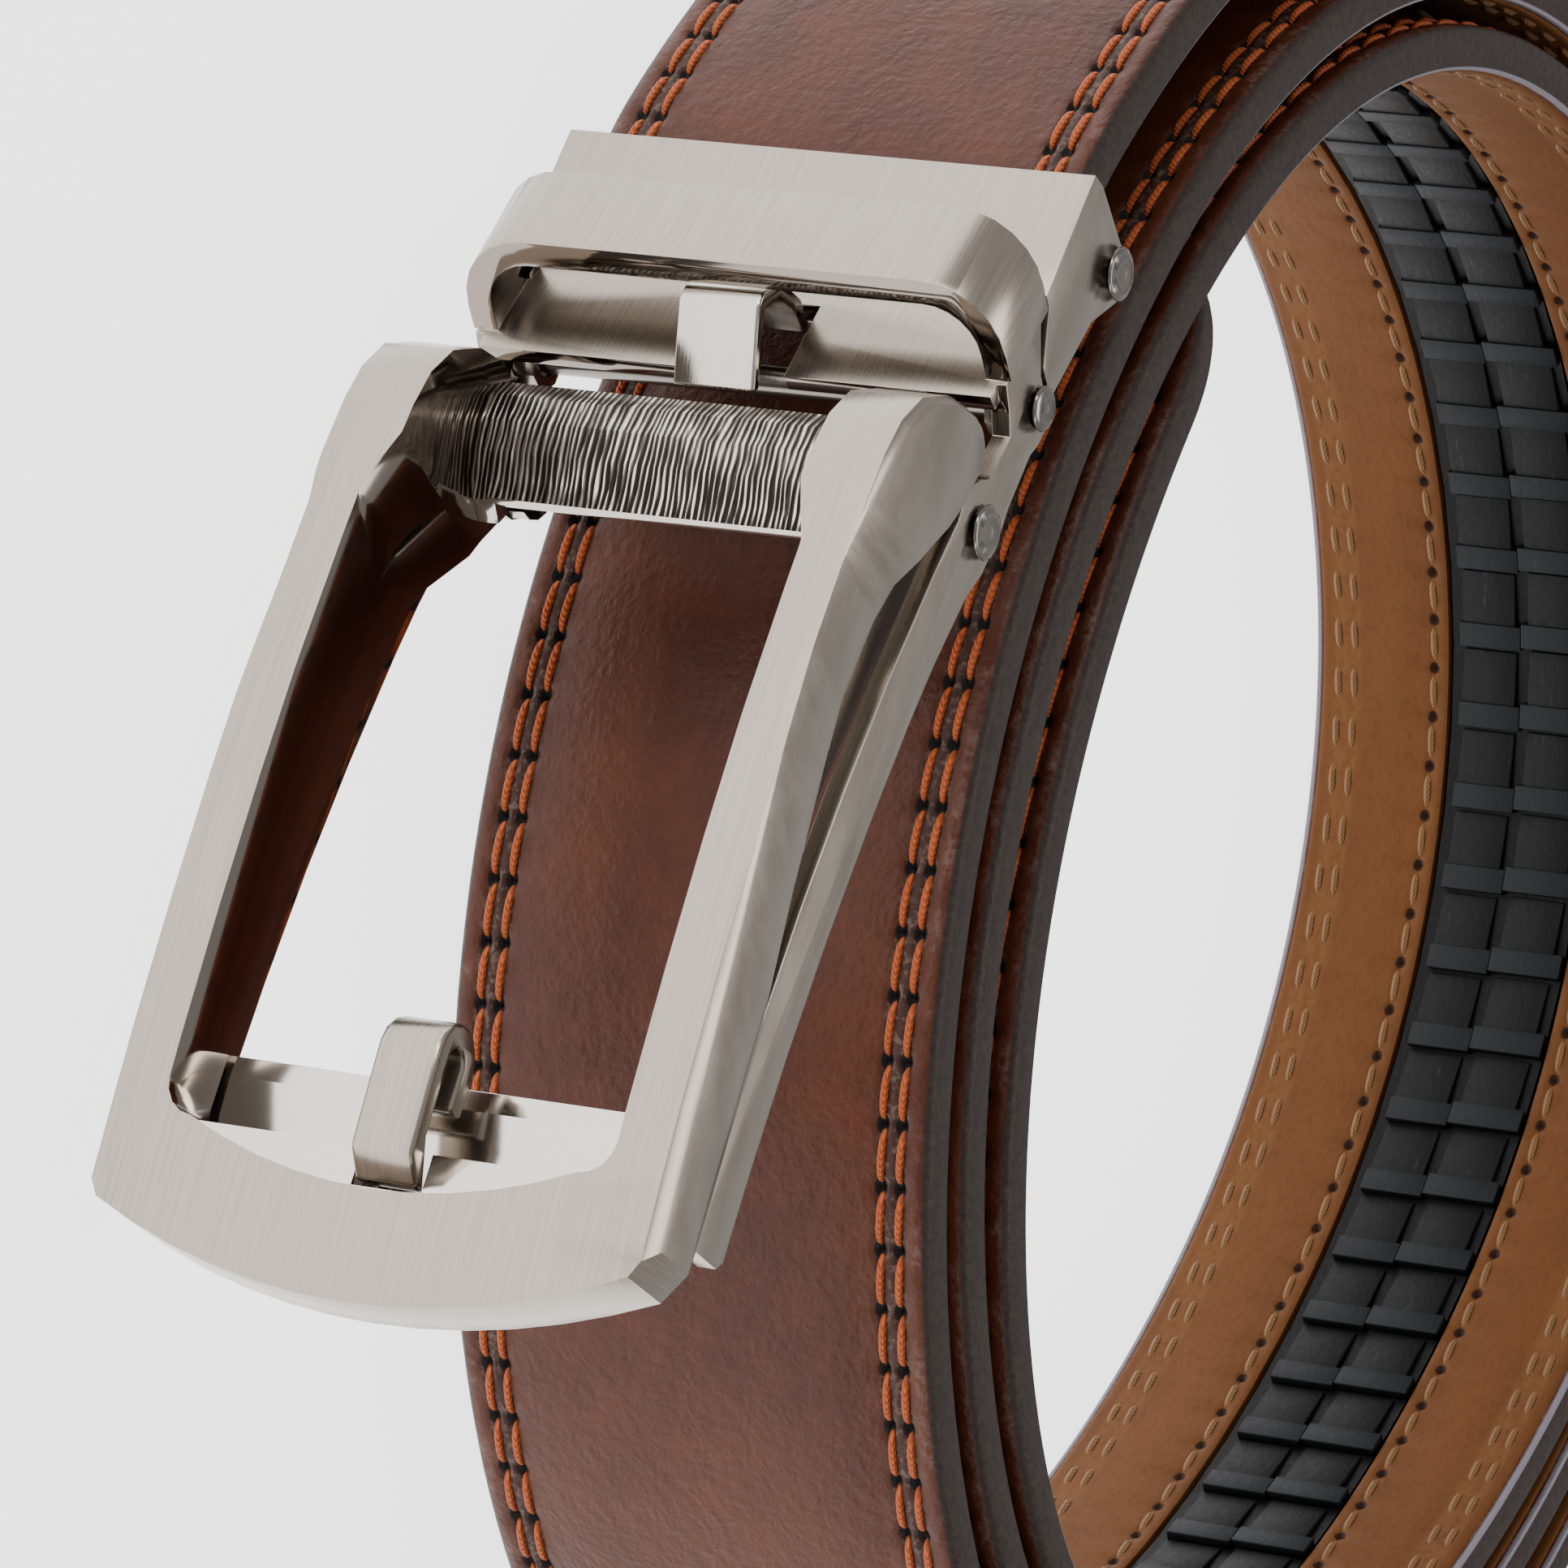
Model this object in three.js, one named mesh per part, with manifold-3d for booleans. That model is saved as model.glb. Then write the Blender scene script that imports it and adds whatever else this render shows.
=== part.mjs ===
// A coiled ratchet belt: leather strap, toothed track, strap clamp and a hinged open-frame buckle.
// Millimetres and degrees, +Z up. The strap stands on its lower edge and winds round the Z axis.
import * as THREE from 'three';
import { mergeVertices } from 'three/addons/utils/BufferGeometryUtils.js';
import Module from 'manifold-3d';

const wasm = await Module();
wasm.setup();

// Strap
const strapWidth = 35;
const edgeThickness = 3.3;
const crownRise = 0.7;
const crownFade = 22;
const stitchMargin = 3.9;
const edgeRound = 0.45;
const leatherInner = 0;
const liningWeb = 0.3;
const pieceGap = 0.3;

// Toothed track on the strap's inner face
const trackWidth = 11.8;
const trackBase = 0.4;
const toothPitch = 6.6;
const toothRise = 0.75;
const toothCount = 52;
const toothFlat = [0.55, 0.95];
const trackTipMargin = 14;

// Coil, in turns from the side that faces the viewer
const coilRadius = 61.6;
const ovalSwing = 3.35;
const ovalAngle = -66.5;
const lobeSwing = 0.96;
const lobeAngle = -34.2;
const flatSwing = 0.39;
const flatAngle = -1.6;
const turnGap = 0.5;
const pitchGrowth = 0.3;
const meanTurn = 2.35;
const firstTurn = 0.1283;
const lastTurn = 3.166;
const stepsPerTurn = 36;
const launchLift = 4.95;
const mouthLift = 0.5;
const launchTurn = 0.36;
const tipSpring = 2.1;
const tipTouch = 0.9;
const tipTurns = 0.269;
const tipLength = 16;
const tipShare = 0.4;
const tipDivisions = 4;

// Strap clamp
const clampLength = 15.3;
const clampPlateLength = 9.6;
const clampWall = 1.2;
const clampSideGap = 0.35;
const clampDepth = 6.9;
const hingeDepth = 4.2;
const mouthBend = 5;
const mouthTurn = 11.6;
const strapTuck = 9.2;
const jawLength = 9.8;
const jawThickness = 1.3;
const clampPinInset = 2.6;
const lugRadius = 2.1;
const tongueLength = 8;
const tongueWall = 1.1;
const pinRadius = 1.0;
const pinHeadRadius = 1.8;
const bodyPinHeadRadius = 1.5;
const pinHeadRise = 0.5;
const pinClearance = 0.3;
const bossRim = 0.2;
const tongueKnee = { along: 0.6, wall: 0.7 };
const bridgeFoot = { along: 0.38, wall: 0.8 };

// Buckle body: rails, loop, floor plate and end bar
const buckleTurn = 7.9;
const buckleBend = 186;
const railLength = 62.4;
const railDepth = 4.4;
const railWall = 1.3;
const railOverClamp = 0.05;
const hingeHeight = 1.7;
const loopBack = -4.2;
const loopLength = 6.2;
const loopHeight = 13.2;
const loopWall = 1.8;
const loopCorner = 5.2;
const loopLean = 1.4;
const loopFlare = 0.25;
const floorHeight = 6.2;
const floorWall = 1.2;
const floorReach = 3.4;
const tabSlotWidth = 7.6;
const endBarLength = 7.7;
const endBarWall = 1.8;
const tabFoot = 0.3;
const tabLength = 8;
const tabRise = 6.1;
const tabWidth = 5.8;
const cutSlack = 1;

// Hinged frame
const framePinReach = 10.2;
const framePinHeight = 1.4;
const lobeFoot = 1.52;
const frameLength = 66.2;
const frameWidth = 38.2;
const frameBaseFlare = 0.6;
const frameBevel = 1.2;
const frameCorner = 1.2;
const earWidth = 5.0;
const earHeight = 15.5;
const earReach = 6.6;
const frameFrontHigh = 14.6;
const frameFrontLow = 9.7;
const frameBackHigh = 8.4;
const sideBarWidth = 3.5;
const windowCorner = 2.2;
const shoulderFrom = 1.7;
const shoulderTo = 2.1;
const bottomBarLength = 6.7;
const bottomBow = 3.9;
const windowBow = 2.7;
const ledgeLength = 3.1;
const ledgeDrop = 1.3;
const frameGap = 0.5;
const armPinWall = 1.5;

// Grip bar between the frame's ears, and the prong
const gripFrom = 6.5;
const gripLength = 8.1;
const gripHeight = 8.1;
const cheekWall = 1.5;
const prongWidth = 4.3;
const prongWall = 1.5;
const prongHeight = 10.9;
const prongLength = 9.0;
const prongBend = 2.5;
const prongSeat = 0.9;

const liningOuter = leatherInner - pieceGap;
const trackBack = liningOuter - liningWeb - pieceGap;
const toothCrest = trackBack - trackBase - toothRise;
const strapStack = edgeThickness / 2 + crownRise - toothCrest;
const turnPitch = strapStack + turnGap;
const halfStrap = strapWidth / 2;
const clampHalf = halfStrap + clampSideGap + clampWall;
const railHalf = clampHalf + railOverClamp;
const railInner = railHalf - railWall;
const frameHalf = frameWidth / 2 + frameBaseFlare;
const earInner = frameWidth / 2 - earWidth;
const gripHalf = earInner - cheekWall;
const windowHalf = frameWidth / 2 - sideBarWidth;
const pinHoleReach = Math.max(frameHalf, railHalf) + pieceGap;
const strapSeat = hingeDepth - clampWall - pieceGap - edgeThickness / 2;
const radians = THREE.MathUtils.degToRad;

// Solids and geometry
function solidOf(geometry) {
  const bare = geometry.clone();
  bare.deleteAttribute('normal');
  bare.deleteAttribute('uv');
  const merged = mergeVertices(bare, 1e-4);
  return new wasm.Manifold(new wasm.Mesh({
    numProp: 3,
    vertProperties: new Float32Array(merged.attributes.position.array),
    triVerts: new Uint32Array(merged.index.array),
  }));
}

function geometryOf(solid) {
  const mesh = solid.getMesh();
  const geometry = new THREE.BufferGeometry();
  const corners = new Float32Array(mesh.vertProperties);
  geometry.setAttribute('position', new THREE.BufferAttribute(corners, 3));
  geometry.setIndex(Array.from(mesh.triVerts));
  return geometry;
}

function joined(solids) {
  return solids.reduce((sum, solid) => sum.add(solid));
}

function outline(points) {
  return new THREE.Shape(points.map(([x, y]) => new THREE.Vector2(x, y)));
}

// Buckle coordinates: s runs from the clamp hinge to the frame's free end, n outward, z along the coil's axis
function sidePrism(points, zLow, zHigh) {
  const shape = outline(points.map(([s, n]) => [-s, n]));
  const geometry = new THREE.ExtrudeGeometry(shape, { depth: zHigh - zLow, bevelEnabled: false });
  return solidOf(geometry.translate(0, 0, zLow));
}

function planPrism(points, nLow, nHigh) {
  const shape = outline(points.map(([s, z]) => [-s, -z]));
  const geometry = new THREE.ExtrudeGeometry(shape, { depth: nHigh - nLow, bevelEnabled: false });
  return solidOf(geometry.translate(0, 0, nLow).rotateX(-Math.PI / 2));
}

function crossPrism(points, sLow, sHigh) {
  const shape = outline(points.map(([z, n]) => [z, n]));
  const geometry = new THREE.ExtrudeGeometry(shape, { depth: sHigh - sLow, bevelEnabled: false });
  return solidOf(geometry.translate(0, 0, sLow).rotateY(-Math.PI / 2));
}

function arc(centre, radius, fromAngle, toAngle, steps) {
  const points = [];
  for (let i = 0; i <= steps; i++) {
    const angle = radians(fromAngle + (toAngle - fromAngle) * i / steps);
    points.push([centre[0] + radius * Math.cos(angle), centre[1] + radius * Math.sin(angle)]);
  }
  return points;
}

function rectangle(x0, y0, x1, y1) {
  return [[x0, y0], [x1, y0], [x1, y1], [x0, y1]];
}

function disc(s, n, radius, sides) {
  return arc([s, n], radius, 0, 360 * (1 - 1 / sides), sides - 1);
}

// Cuts each triangle where it crosses x = k * step, so that a straight solid can be bent
function slicedAlongX(geometry, step) {
  const points = Array.from(geometry.attributes.position.array);
  let faces = [];
  const index = geometry.index.array;
  for (let i = 0; i < index.length; i += 3) faces.push([index[i], index[i + 1], index[i + 2]]);
  geometry.computeBoundingBox();
  const { min, max } = geometry.boundingBox;
  for (let k = Math.ceil(min.x / step); k * step < max.x; k++) {
    const plane = k * step;
    const side = i => (Math.abs(points[3 * i] - plane) < 1e-3 ? 0 : Math.sign(points[3 * i] - plane));
    const cuts = new Map();
    const cutBetween = (a, b) => {
      const key = a < b ? `${a},${b}` : `${b},${a}`;
      if (!cuts.has(key)) {
        const [p, q] = a < b ? [a, b] : [b, a];
        const share = (plane - points[3 * p]) / (points[3 * q] - points[3 * p]);
        cuts.set(key, points.length / 3);
        points.push(plane);
        for (const axis of [1, 2]) {
          points.push(points[3 * p + axis] + share * (points[3 * q + axis] - points[3 * p + axis]));
        }
      }
      return cuts.get(key);
    };
    const next = [];
    for (const face of faces) {
      const sides = face.map(side);
      const crossed = [0, 1, 2].filter(i => sides[i] * sides[(i + 1) % 3] < 0);
      if (crossed.length === 0) {
        next.push(face);
      } else if (crossed.length === 1) {
        const i = crossed[0];
        const [a, b, c] = [face[i], face[(i + 1) % 3], face[(i + 2) % 3]];
        const m = cutBetween(a, b);
        next.push([a, m, c], [m, b, c]);
      } else {
        const i = [0, 1, 2].find(j => sides[j] * sides[(j + 1) % 3] < 0 && sides[j] * sides[(j + 2) % 3] < 0);
        const [a, b, c] = [face[i], face[(i + 1) % 3], face[(i + 2) % 3]];
        const m = cutBetween(a, b);
        const o = cutBetween(c, a);
        next.push([a, m, o], [m, b, c], [m, c, o]);
      }
    }
    faces = next;
  }
  const sliced = new THREE.BufferGeometry();
  sliced.setAttribute('position', new THREE.Float32BufferAttribute(points, 3));
  sliced.setIndex(faces.flat());
  return sliced;
}

// Bends a straight buckle solid to the buckle's curve, with the clamp hinge at the group's origin
function bent(solid) {
  const geometry = slicedAlongX(geometryOf(solid), 8);
  const position = geometry.attributes.position;
  for (let i = 0; i < position.count; i++) {
    const angle = position.getX(i) / buckleBend;
    const reach = buckleBend + position.getY(i);
    position.setX(i, reach * Math.sin(angle));
    position.setY(i, reach * Math.cos(angle) - buckleBend - hingeHeight);
  }
  return geometry;
}

// Closed solid through rings of points, each ring with as many points as the first
function loft(rings, ringShape) {
  const count = rings[0].length;
  const points = rings.flat(2);
  const faces = [];
  for (let i = 0; i + 1 < rings.length; i++) {
    for (let j = 0; j < count; j++) {
      const a = i * count + j;
      const b = i * count + (j + 1) % count;
      faces.push([a, b + count, b], [a, a + count, b + count]);
    }
  }
  const end = (rings.length - 1) * count;
  for (const [a, b, c] of THREE.ShapeUtils.triangulateShape(ringShape, [])) {
    faces.push([a, b, c], [end + c, end + b, end + a]);
  }
  const geometry = new THREE.BufferGeometry();
  geometry.setAttribute('position', new THREE.Float32BufferAttribute(points, 3));
  geometry.setIndex(faces.flat());
  return geometry;
}

// Route of the strap's middle line
function smooth(t) {
  const x = Math.min(1, Math.max(0, t));
  return x * x * (3 - 2 * x);
}

function coilPoint(turn) {
  const angle = -Math.PI / 2 - 2 * Math.PI * turn;
  const inward = meanTurn - turn;
  const launch = Math.max(0, (launchTurn - turn) / (launchTurn - firstTurn));
  const tip = Math.max(0, (turn - lastTurn + tipTurns) / tipTurns);
  const radius = coilRadius
    + ovalSwing * Math.cos(2 * (angle - radians(ovalAngle)))
    + lobeSwing * Math.cos(3 * (angle - radians(lobeAngle)))
    + flatSwing * Math.cos(4 * (angle - radians(flatAngle)))
    + turnPitch * inward + pitchGrowth * inward * inward
    + launchLift * smooth(launch) + mouthLift * launch ** 12
    - tipSpring * Math.sin(Math.PI * Math.min(1, tip ** 1.2)) + tipTouch * tip ** 8;
  return new THREE.Vector2(radius * Math.cos(angle), radius * Math.sin(angle));
}

function coilDirection(turn) {
  return coilPoint(turn + 1e-4).sub(coilPoint(turn)).normalize();
}

// The strap leaves the clamp straight, bends at its mouth and joins the coil
const coilStart = coilPoint(firstTurn);
const startAngle = coilDirection(firstTurn).angle();
const clampAngle = startAngle + radians(mouthTurn);
const mouthRadius = mouthBend / radians(mouthTurn);

function mouthPoint(bend) {
  const angle = startAngle + bend;
  const centre = coilStart.clone().add(
    new THREE.Vector2(-Math.sin(startAngle), Math.cos(startAngle)).multiplyScalar(-mouthRadius));
  return centre.add(new THREE.Vector2(-Math.sin(angle), Math.cos(angle)).multiplyScalar(mouthRadius));
}

function routeStations() {
  const along = new THREE.Vector2(Math.cos(clampAngle), Math.sin(clampAngle));
  const mouth = mouthPoint(radians(mouthTurn));
  const points = [strapTuck, strapTuck / 2, 0].map(d => mouth.clone().addScaledVector(along, -d));
  points.push(mouthPoint(radians(mouthTurn) * 0.5));
  const steps = Math.round((lastTurn - firstTurn) * stepsPerTurn);
  const step = (lastTurn - firstTurn) / steps;
  for (let i = 0; i <= steps - 2; i++) points.push(coilPoint(firstTurn + step * i));
  for (let i = 2 * tipDivisions - 1; i >= 0; i--) points.push(coilPoint(lastTurn - step * i / tipDivisions));
  let run = 0;
  return points.map((point, i) => {
    const before = points[Math.max(0, i - 1)];
    const after = points[Math.min(points.length - 1, i + 1)];
    const tangent = after.clone().sub(before).normalize();
    if (i > 0) run += point.distanceTo(before);
    return { point, outward: new THREE.Vector2(-tangent.y, tangent.x), run };
  });
}

const stations = routeStations();
const strapLength = stations[stations.length - 1].run;

// Share of the strap's width at a run: its end is rounded off
function widthAt(run) {
  const past = Math.max(0, (run - strapLength + tipLength) / tipLength);
  return tipShare + (1 - tipShare) * Math.sqrt(Math.max(0, 1 - past * past));
}

// The padded middle of the strap fades out in the clamp and at the tip
function crownAt(run) {
  const fromClamp = (run - strapTuck) / crownFade;
  const fromTip = (strapLength - run) / crownFade;
  return crownRise * smooth(fromClamp) * smooth(fromTip);
}

function alongRoute(profileAt) {
  const rings = stations.map(({ point, outward, run }) => profileAt(run).map(([z, n]) => [
    point.x + outward.x * n, point.y + outward.y * n, z * widthAt(run)]));
  const shape = profileAt(strapLength / 2).map(([z, n]) => new THREE.Vector2(z, n));
  return loft(rings, shape);
}

// z as a share of the half width at a share of the crown, from the lower edge to the upper one
const crownShares = [
  { across: 0.66, rise: 0.55 },
  { across: 0.36, rise: 0.92 },
];

function leatherProfile(run) {
  const face = edgeThickness / 2;
  const land = halfStrap - stitchMargin;
  const upper = [
    [halfStrap, leatherInner], [halfStrap, face - edgeRound], [halfStrap - edgeRound, face], [land, face],
  ];
  for (const { across, rise } of crownShares) upper.push([across * halfStrap, face + rise * crownAt(run)]);
  return [...upper, ...upper.map(([z, n]) => [-z, n]).reverse()];
}

function liningProfile() {
  const face = -edgeThickness / 2;
  const top = liningOuter;
  const channel = trackWidth / 2 + pieceGap;
  const web = top - liningWeb;
  return [
    [halfStrap, top], [-halfStrap, top], [-halfStrap, face + edgeRound], [-halfStrap + edgeRound, face],
    [-channel, face], [-channel, web], [channel, web], [channel, face],
    [halfStrap - edgeRound, face], [halfStrap, face + edgeRound],
  ];
}

// Point of the middle line at a run along it
function routeAt(run) {
  let i = 1;
  while (i < stations.length - 1 && stations[i].run < run) i++;
  const [a, b] = [stations[i - 1], stations[i]];
  const share = (run - a.run) / (b.run - a.run);
  return {
    point: a.point.clone().lerp(b.point, share),
    outward: a.outward.clone().lerp(b.outward, share).normalize(),
  };
}

// Saw teeth: steep toward the tip, sloping back to the clamp
function trackGeometry() {
  const valley = toothCrest + toothRise;
  const from = strapLength - trackTipMargin - toothCount * toothPitch;
  const place = (run, n) => {
    const { point, outward } = routeAt(run);
    return [point.x + outward.x * n, point.y + outward.y * n];
  };
  const inner = [];
  const outer = [];
  for (let i = 0; i < toothCount; i++) {
    const run = from + i * toothPitch;
    inner.push(place(run, valley));
    for (const share of toothFlat) inner.push(place(run + share * toothPitch, toothCrest));
    outer.push(place(run, trackBack));
  }
  inner.push(place(from + toothCount * toothPitch, valley));
  outer.push(place(from + toothCount * toothPitch, trackBack));
  const geometry = new THREE.ExtrudeGeometry(outline([...outer, ...inner.reverse()]), {
    depth: trackWidth, bevelEnabled: false });
  return geometry.translate(0, 0, -trackWidth / 2);
}

// Edge of the clamp's side wall behind its plate: shares of the clamp's length and of the hinge's depth
const clampWallEdge = [
  { along: 0.556, out: -0.55 },
  { along: 0.17, out: -0.31 },
  { along: 0.098, out: -0.26 },
  { along: 0.15, out: 0.286 },
  { along: 0.353, out: 0.81 },
];

// Clamp, in its own straight coordinates round the buckle hinge
const clampPinAt = [-clampLength + clampPinInset, hingeDepth - clampDepth];
const lugOuter = railInner - pieceGap;
const lugInner = lugOuter - clampWall;

function pinHole(s, n) {
  return sidePrism(disc(s, n, pinRadius + pinClearance, 12), -pinHoleReach, pinHoleReach);
}

function mirroredPrisms(points, zLow, zHigh) {
  return [sidePrism(points, zLow, zHigh), sidePrism(points, -zHigh, -zLow)];
}

function clampCover() {
  const front = hingeDepth;
  const inner = halfStrap + clampSideGap;
  const plateEnd = -clampLength + clampPlateLength;
  const tongueTop = strapSeat - edgeThickness / 2 - pieceGap;
  const wallShape = [
    [plateEnd, front], [-clampLength, front], [-clampLength - bossRim, front - clampWall - bossRim],
    ...arc(clampPinAt, pinHeadRadius + bossRim, 160, 290, 6),
    ...clampWallEdge.map(({ along, out }) => [-along * clampLength, out * hingeDepth]),
  ];
  const tongue = [
    [pinRadius / 2, tongueTop - tongueWall], [pinRadius / 2, tongueTop], [-tongueLength, tongueTop],
    [-tongueLength, tongueTop - tongueWall],
    [-tongueLength * tongueKnee.along, tongueTop - tongueWall * tongueKnee.wall],
  ];
  const bridgeFrom = -tongueLength * bridgeFoot.along;
  const bridge = [
    [bridgeFrom, tongueTop - tongueWall * bridgeFoot.wall], [bridgeFrom, tongueTop], ...tongue.slice(2),
  ];
  const plate = planPrism(rectangle(-clampLength, -clampHalf, plateEnd, clampHalf), front - clampWall, front);
  const cover = joined([
    plate,
    ...mirroredPrisms(wallShape, inner, clampHalf),
    ...mirroredPrisms(arc([0, 0], lugRadius, -75, 210, 9), lugInner, lugOuter),
    ...mirroredPrisms(tongue, lugInner, lugOuter),
    ...mirroredPrisms(bridge, lugInner, inner + clampWall / 3),
  ]);
  return geometryOf(cover.subtract(pinHole(0, 0)).subtract(pinHole(...clampPinAt)));
}

// Plain jaw that presses the strap against the cover
function clampJaw() {
  const top = strapSeat - edgeThickness / 2 - pieceGap;
  const end = -clampLength + jawLength;
  const half = lugInner - pieceGap;
  const shape = [
    [end, top], [-clampLength + jawThickness, top],
    ...arc(clampPinAt, pinHeadRadius + bossRim / 2, 150, 300, 5), [end, top - jawThickness],
  ];
  return geometryOf(sidePrism(shape, -half, half).subtract(pinHole(...clampPinAt)));
}

// Rivet head outline: shares of its radius and rise
const rivetHead = [
  { wide: 1, high: 0 },
  { wide: 1, high: 0.55 },
  { wide: 0.62, high: 1 },
  { wide: 0, high: 1 },
];

// Rivet along z with its head on the upper side
function rivet(headRadius, headRise) {
  const seat = clampHalf + pieceGap;
  const profile = [
    [0, -clampHalf], [pinRadius, -clampHalf], [pinRadius, seat],
    ...rivetHead.map(({ wide, high }) => [wide * headRadius, seat + high * headRise]),
  ];
  return new THREE.LatheGeometry(profile.map(([r, z]) => new THREE.Vector2(r, z)), 14).rotateX(Math.PI / 2);
}

// Rail outline: shares of the frame pin's reach and of the rail's depth
const railBackEdge = [
  { along: -0.147, out: 0.7 },
  { along: -0.088, out: 0.07 },
  { along: -0.04, out: -0.07 },
  { along: 0.137, out: -0.07 },
  { along: 0.255, out: 0 },
  { along: 0.647, out: -0.09 },
  { along: 0.824, out: -0.2 },
  { along: 1.157, out: -0.2 },
  { along: 1.373, out: -0.07 },
  { along: 1.96, out: 0 },
];
const railNotch = [
  { along: 0.686, out: 0.7 },
  { along: 0.373, out: 0.7 },
  { along: 0.294, out: 1 },
];

function onRail({ along, out }) {
  return [along * framePinReach, out * railDepth];
}

// Buckle body: two rails, the floor plate, the leaning loop and the end bar
function roundedBand(half, top, foot, corner) {
  return [
    [half, foot], ...arc([half - corner, top - corner], corner, 0, 90, 6),
    ...arc([-half + corner, top - corner], corner, 90, 180, 6), [-half, foot],
  ];
}

function leaned(solid) {
  const slope = loopLean / (loopHeight - floorHeight);
  const shear = new THREE.Matrix4().set(1, slope, 0, -slope * floorHeight, 0, 1, 0, 0, 0, 0, 1, 0, 0, 0, 0, 1);
  return solidOf(geometryOf(solid).applyMatrix4(shear));
}

function buckleBody() {
  const lobe = railDepth + pieceGap - framePinHeight;
  const loopFront = loopBack + loopLength;
  const loopHalf = railHalf + loopFlare;
  const overlap = railWall / 2;
  const railShape = [
    [loopBack + overlap, floorHeight], ...railBackEdge.map(onRail),
    [railLength - overlap, 0], [railLength, overlap], [railLength, railDepth],
    [framePinReach * lobeFoot, railDepth],
    ...arc([framePinReach, framePinHeight], lobe, 62, 148, 5),
    ...railNotch.map(onRail), [loopFront + pieceGap, floorHeight],
  ];
  const loop = crossPrism(roundedBand(loopHalf, loopHeight, floorHeight, loopCorner), loopBack, loopFront)
    .subtract(crossPrism(roundedBand(loopHalf - loopWall, loopHeight - loopWall, floorHeight - cutSlack,
      loopCorner - loopWall), loopBack - cutSlack, loopFront + cutSlack));
  const [narrow, wide, step] = [railInner - overlap, railInner + overlap, loopBack + loopLength / 4];
  const plate = planPrism([
    [loopBack, -narrow], [step, -narrow], [step, -wide], [floorReach, -wide],
    [floorReach, wide], [step, wide], [step, narrow], [loopBack, narrow],
  ], floorHeight - floorWall, floorHeight);
  const slot = planPrism(rectangle(step, -tabSlotWidth / 2, floorReach + cutSlack, tabSlotWidth / 2),
    floorHeight - floorWall - cutSlack, floorHeight + cutSlack);
  const endBar = planPrism(rectangle(railLength - endBarLength, -wide, railLength, wide),
    railDepth - endBarWall, railDepth);
  const straight = joined([
    ...mirroredPrisms(railShape, railInner, railHalf), plate.subtract(slot), endBar, leaned(loop)]);
  return bent(straight.subtract(pinHole(0, hingeHeight)).subtract(pinHole(framePinReach, framePinHeight)));
}

// Spring tab outline: shares of its length and rise
const tabOutline = [
  { along: 0.01, up: 0 },
  { along: 0, up: 0.34 },
  { along: 0.16, up: 0.82 },
  { along: 0.41, up: 1 },
  { along: 0.53, up: 0.97 },
  { along: 1, up: 0.34 },
  { along: 0.91, up: 0.25 },
  { along: 0.46, up: 0.82 },
  { along: 0.25, up: 0.69 },
  { along: 0.13, up: 0.31 },
  { along: 0.13, up: 0 },
];

function releaseTab() {
  const from = loopBack + loopLength * tabFoot;
  const shape = tabOutline.map(({ along, up }) => [
    from + along * tabLength, floorHeight - floorWall + up * tabRise]);
  return bent(sidePrism(shape, -tabWidth / 2, tabWidth / 2));
}

// Frame's front line, from the ear over its top and down to the free end
const earLine = [
  { along: 0, height: 0.49 },
  { along: 0.02, height: 0.59 },
  { along: 0.13, height: 0.75 },
  { along: 0.36, height: 0.92 },
  { along: 0.61, height: 0.99 },
  { along: 0.87, height: 1 },
];
const ridgeLine = [
  { along: 0.29, drop: -0.12 },
  { along: 0.332, drop: 0 },
  { along: 0.5, drop: 0.26 },
  { along: 0.63, drop: 0.47 },
  { along: 0.77, drop: 0.67 },
  { along: 0.91, drop: 0.83 },
];
// Back of the ear, round the grip bar and the rail's lobe
const earBack = [
  { along: 1.52, height: 0.43 },
  { along: 1.31, height: 0.37 },
  { along: 1.08, height: 0.334 },
  { along: 0.83, height: 0.334 },
  { along: 0.7, height: 0.37 },
  { along: 0.66, height: 0.43 },
];
// Hinge arms behind the frame's sides: shares of its length, and height over the frame's back or the rails
const armFront = [
  { along: 0.23, overBack: -1.4 },
  { along: 0.42, overBack: 0.6 },
];
const armBack = [
  { along: 0.75, overRail: 1.5 },
  { along: 0.75, overRail: 0.5 },
  { along: 0.51, overRail: 0 },
  { along: 0.33, overRail: -0.5 },
  { along: 0.24, overRail: -2.2 },
];
// Half width along the frame, as shares of its length and width
const frameEdge = [
  { along: 0, half: 0.99 },
  { along: 0.26, half: 0.99 },
  { along: 0.34, half: 0.955 },
  { along: 0.42, half: 0.955 },
  { along: 0.7, half: 0.99 },
  { along: 0.9, half: 1 },
  { along: 0.97, half: 1 },
];

// Arc across the frame's end that reaches furthest at its middle
function bottomArc(half, corner, bow, steps) {
  const radius = (half * half + bow * bow) / (2 * bow);
  const swing = THREE.MathUtils.radToDeg(Math.asin(half / radius));
  return arc([corner + bow - radius, 0], radius, swing, -swing, steps);
}

// Wedge that bevels a long side: everything above the front line, tipped down towards the outside
function sideBevel(front, sign) {
  const drop = frameBevel / frameBaseFlare;
  const above = [...front, [front[front.length - 1][0], 2 * earHeight], [front[0][0], 2 * earHeight]];
  const wedge = geometryOf(sidePrism(above, 0, 4 * frameBaseFlare));
  const shear = new THREE.Matrix4().set(1, 0, 0, 0, 0, 1, -drop, 0, 0, 0, 1, 0, 0, 0, 0, 1);
  wedge.applyMatrix4(shear);
  const low = solidOf(wedge);
  const side = sign > 0 ? low : low.mirror([0, 0, 1]);
  return side.translate([0, 0, sign * frameWidth / 2]);
}

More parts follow.
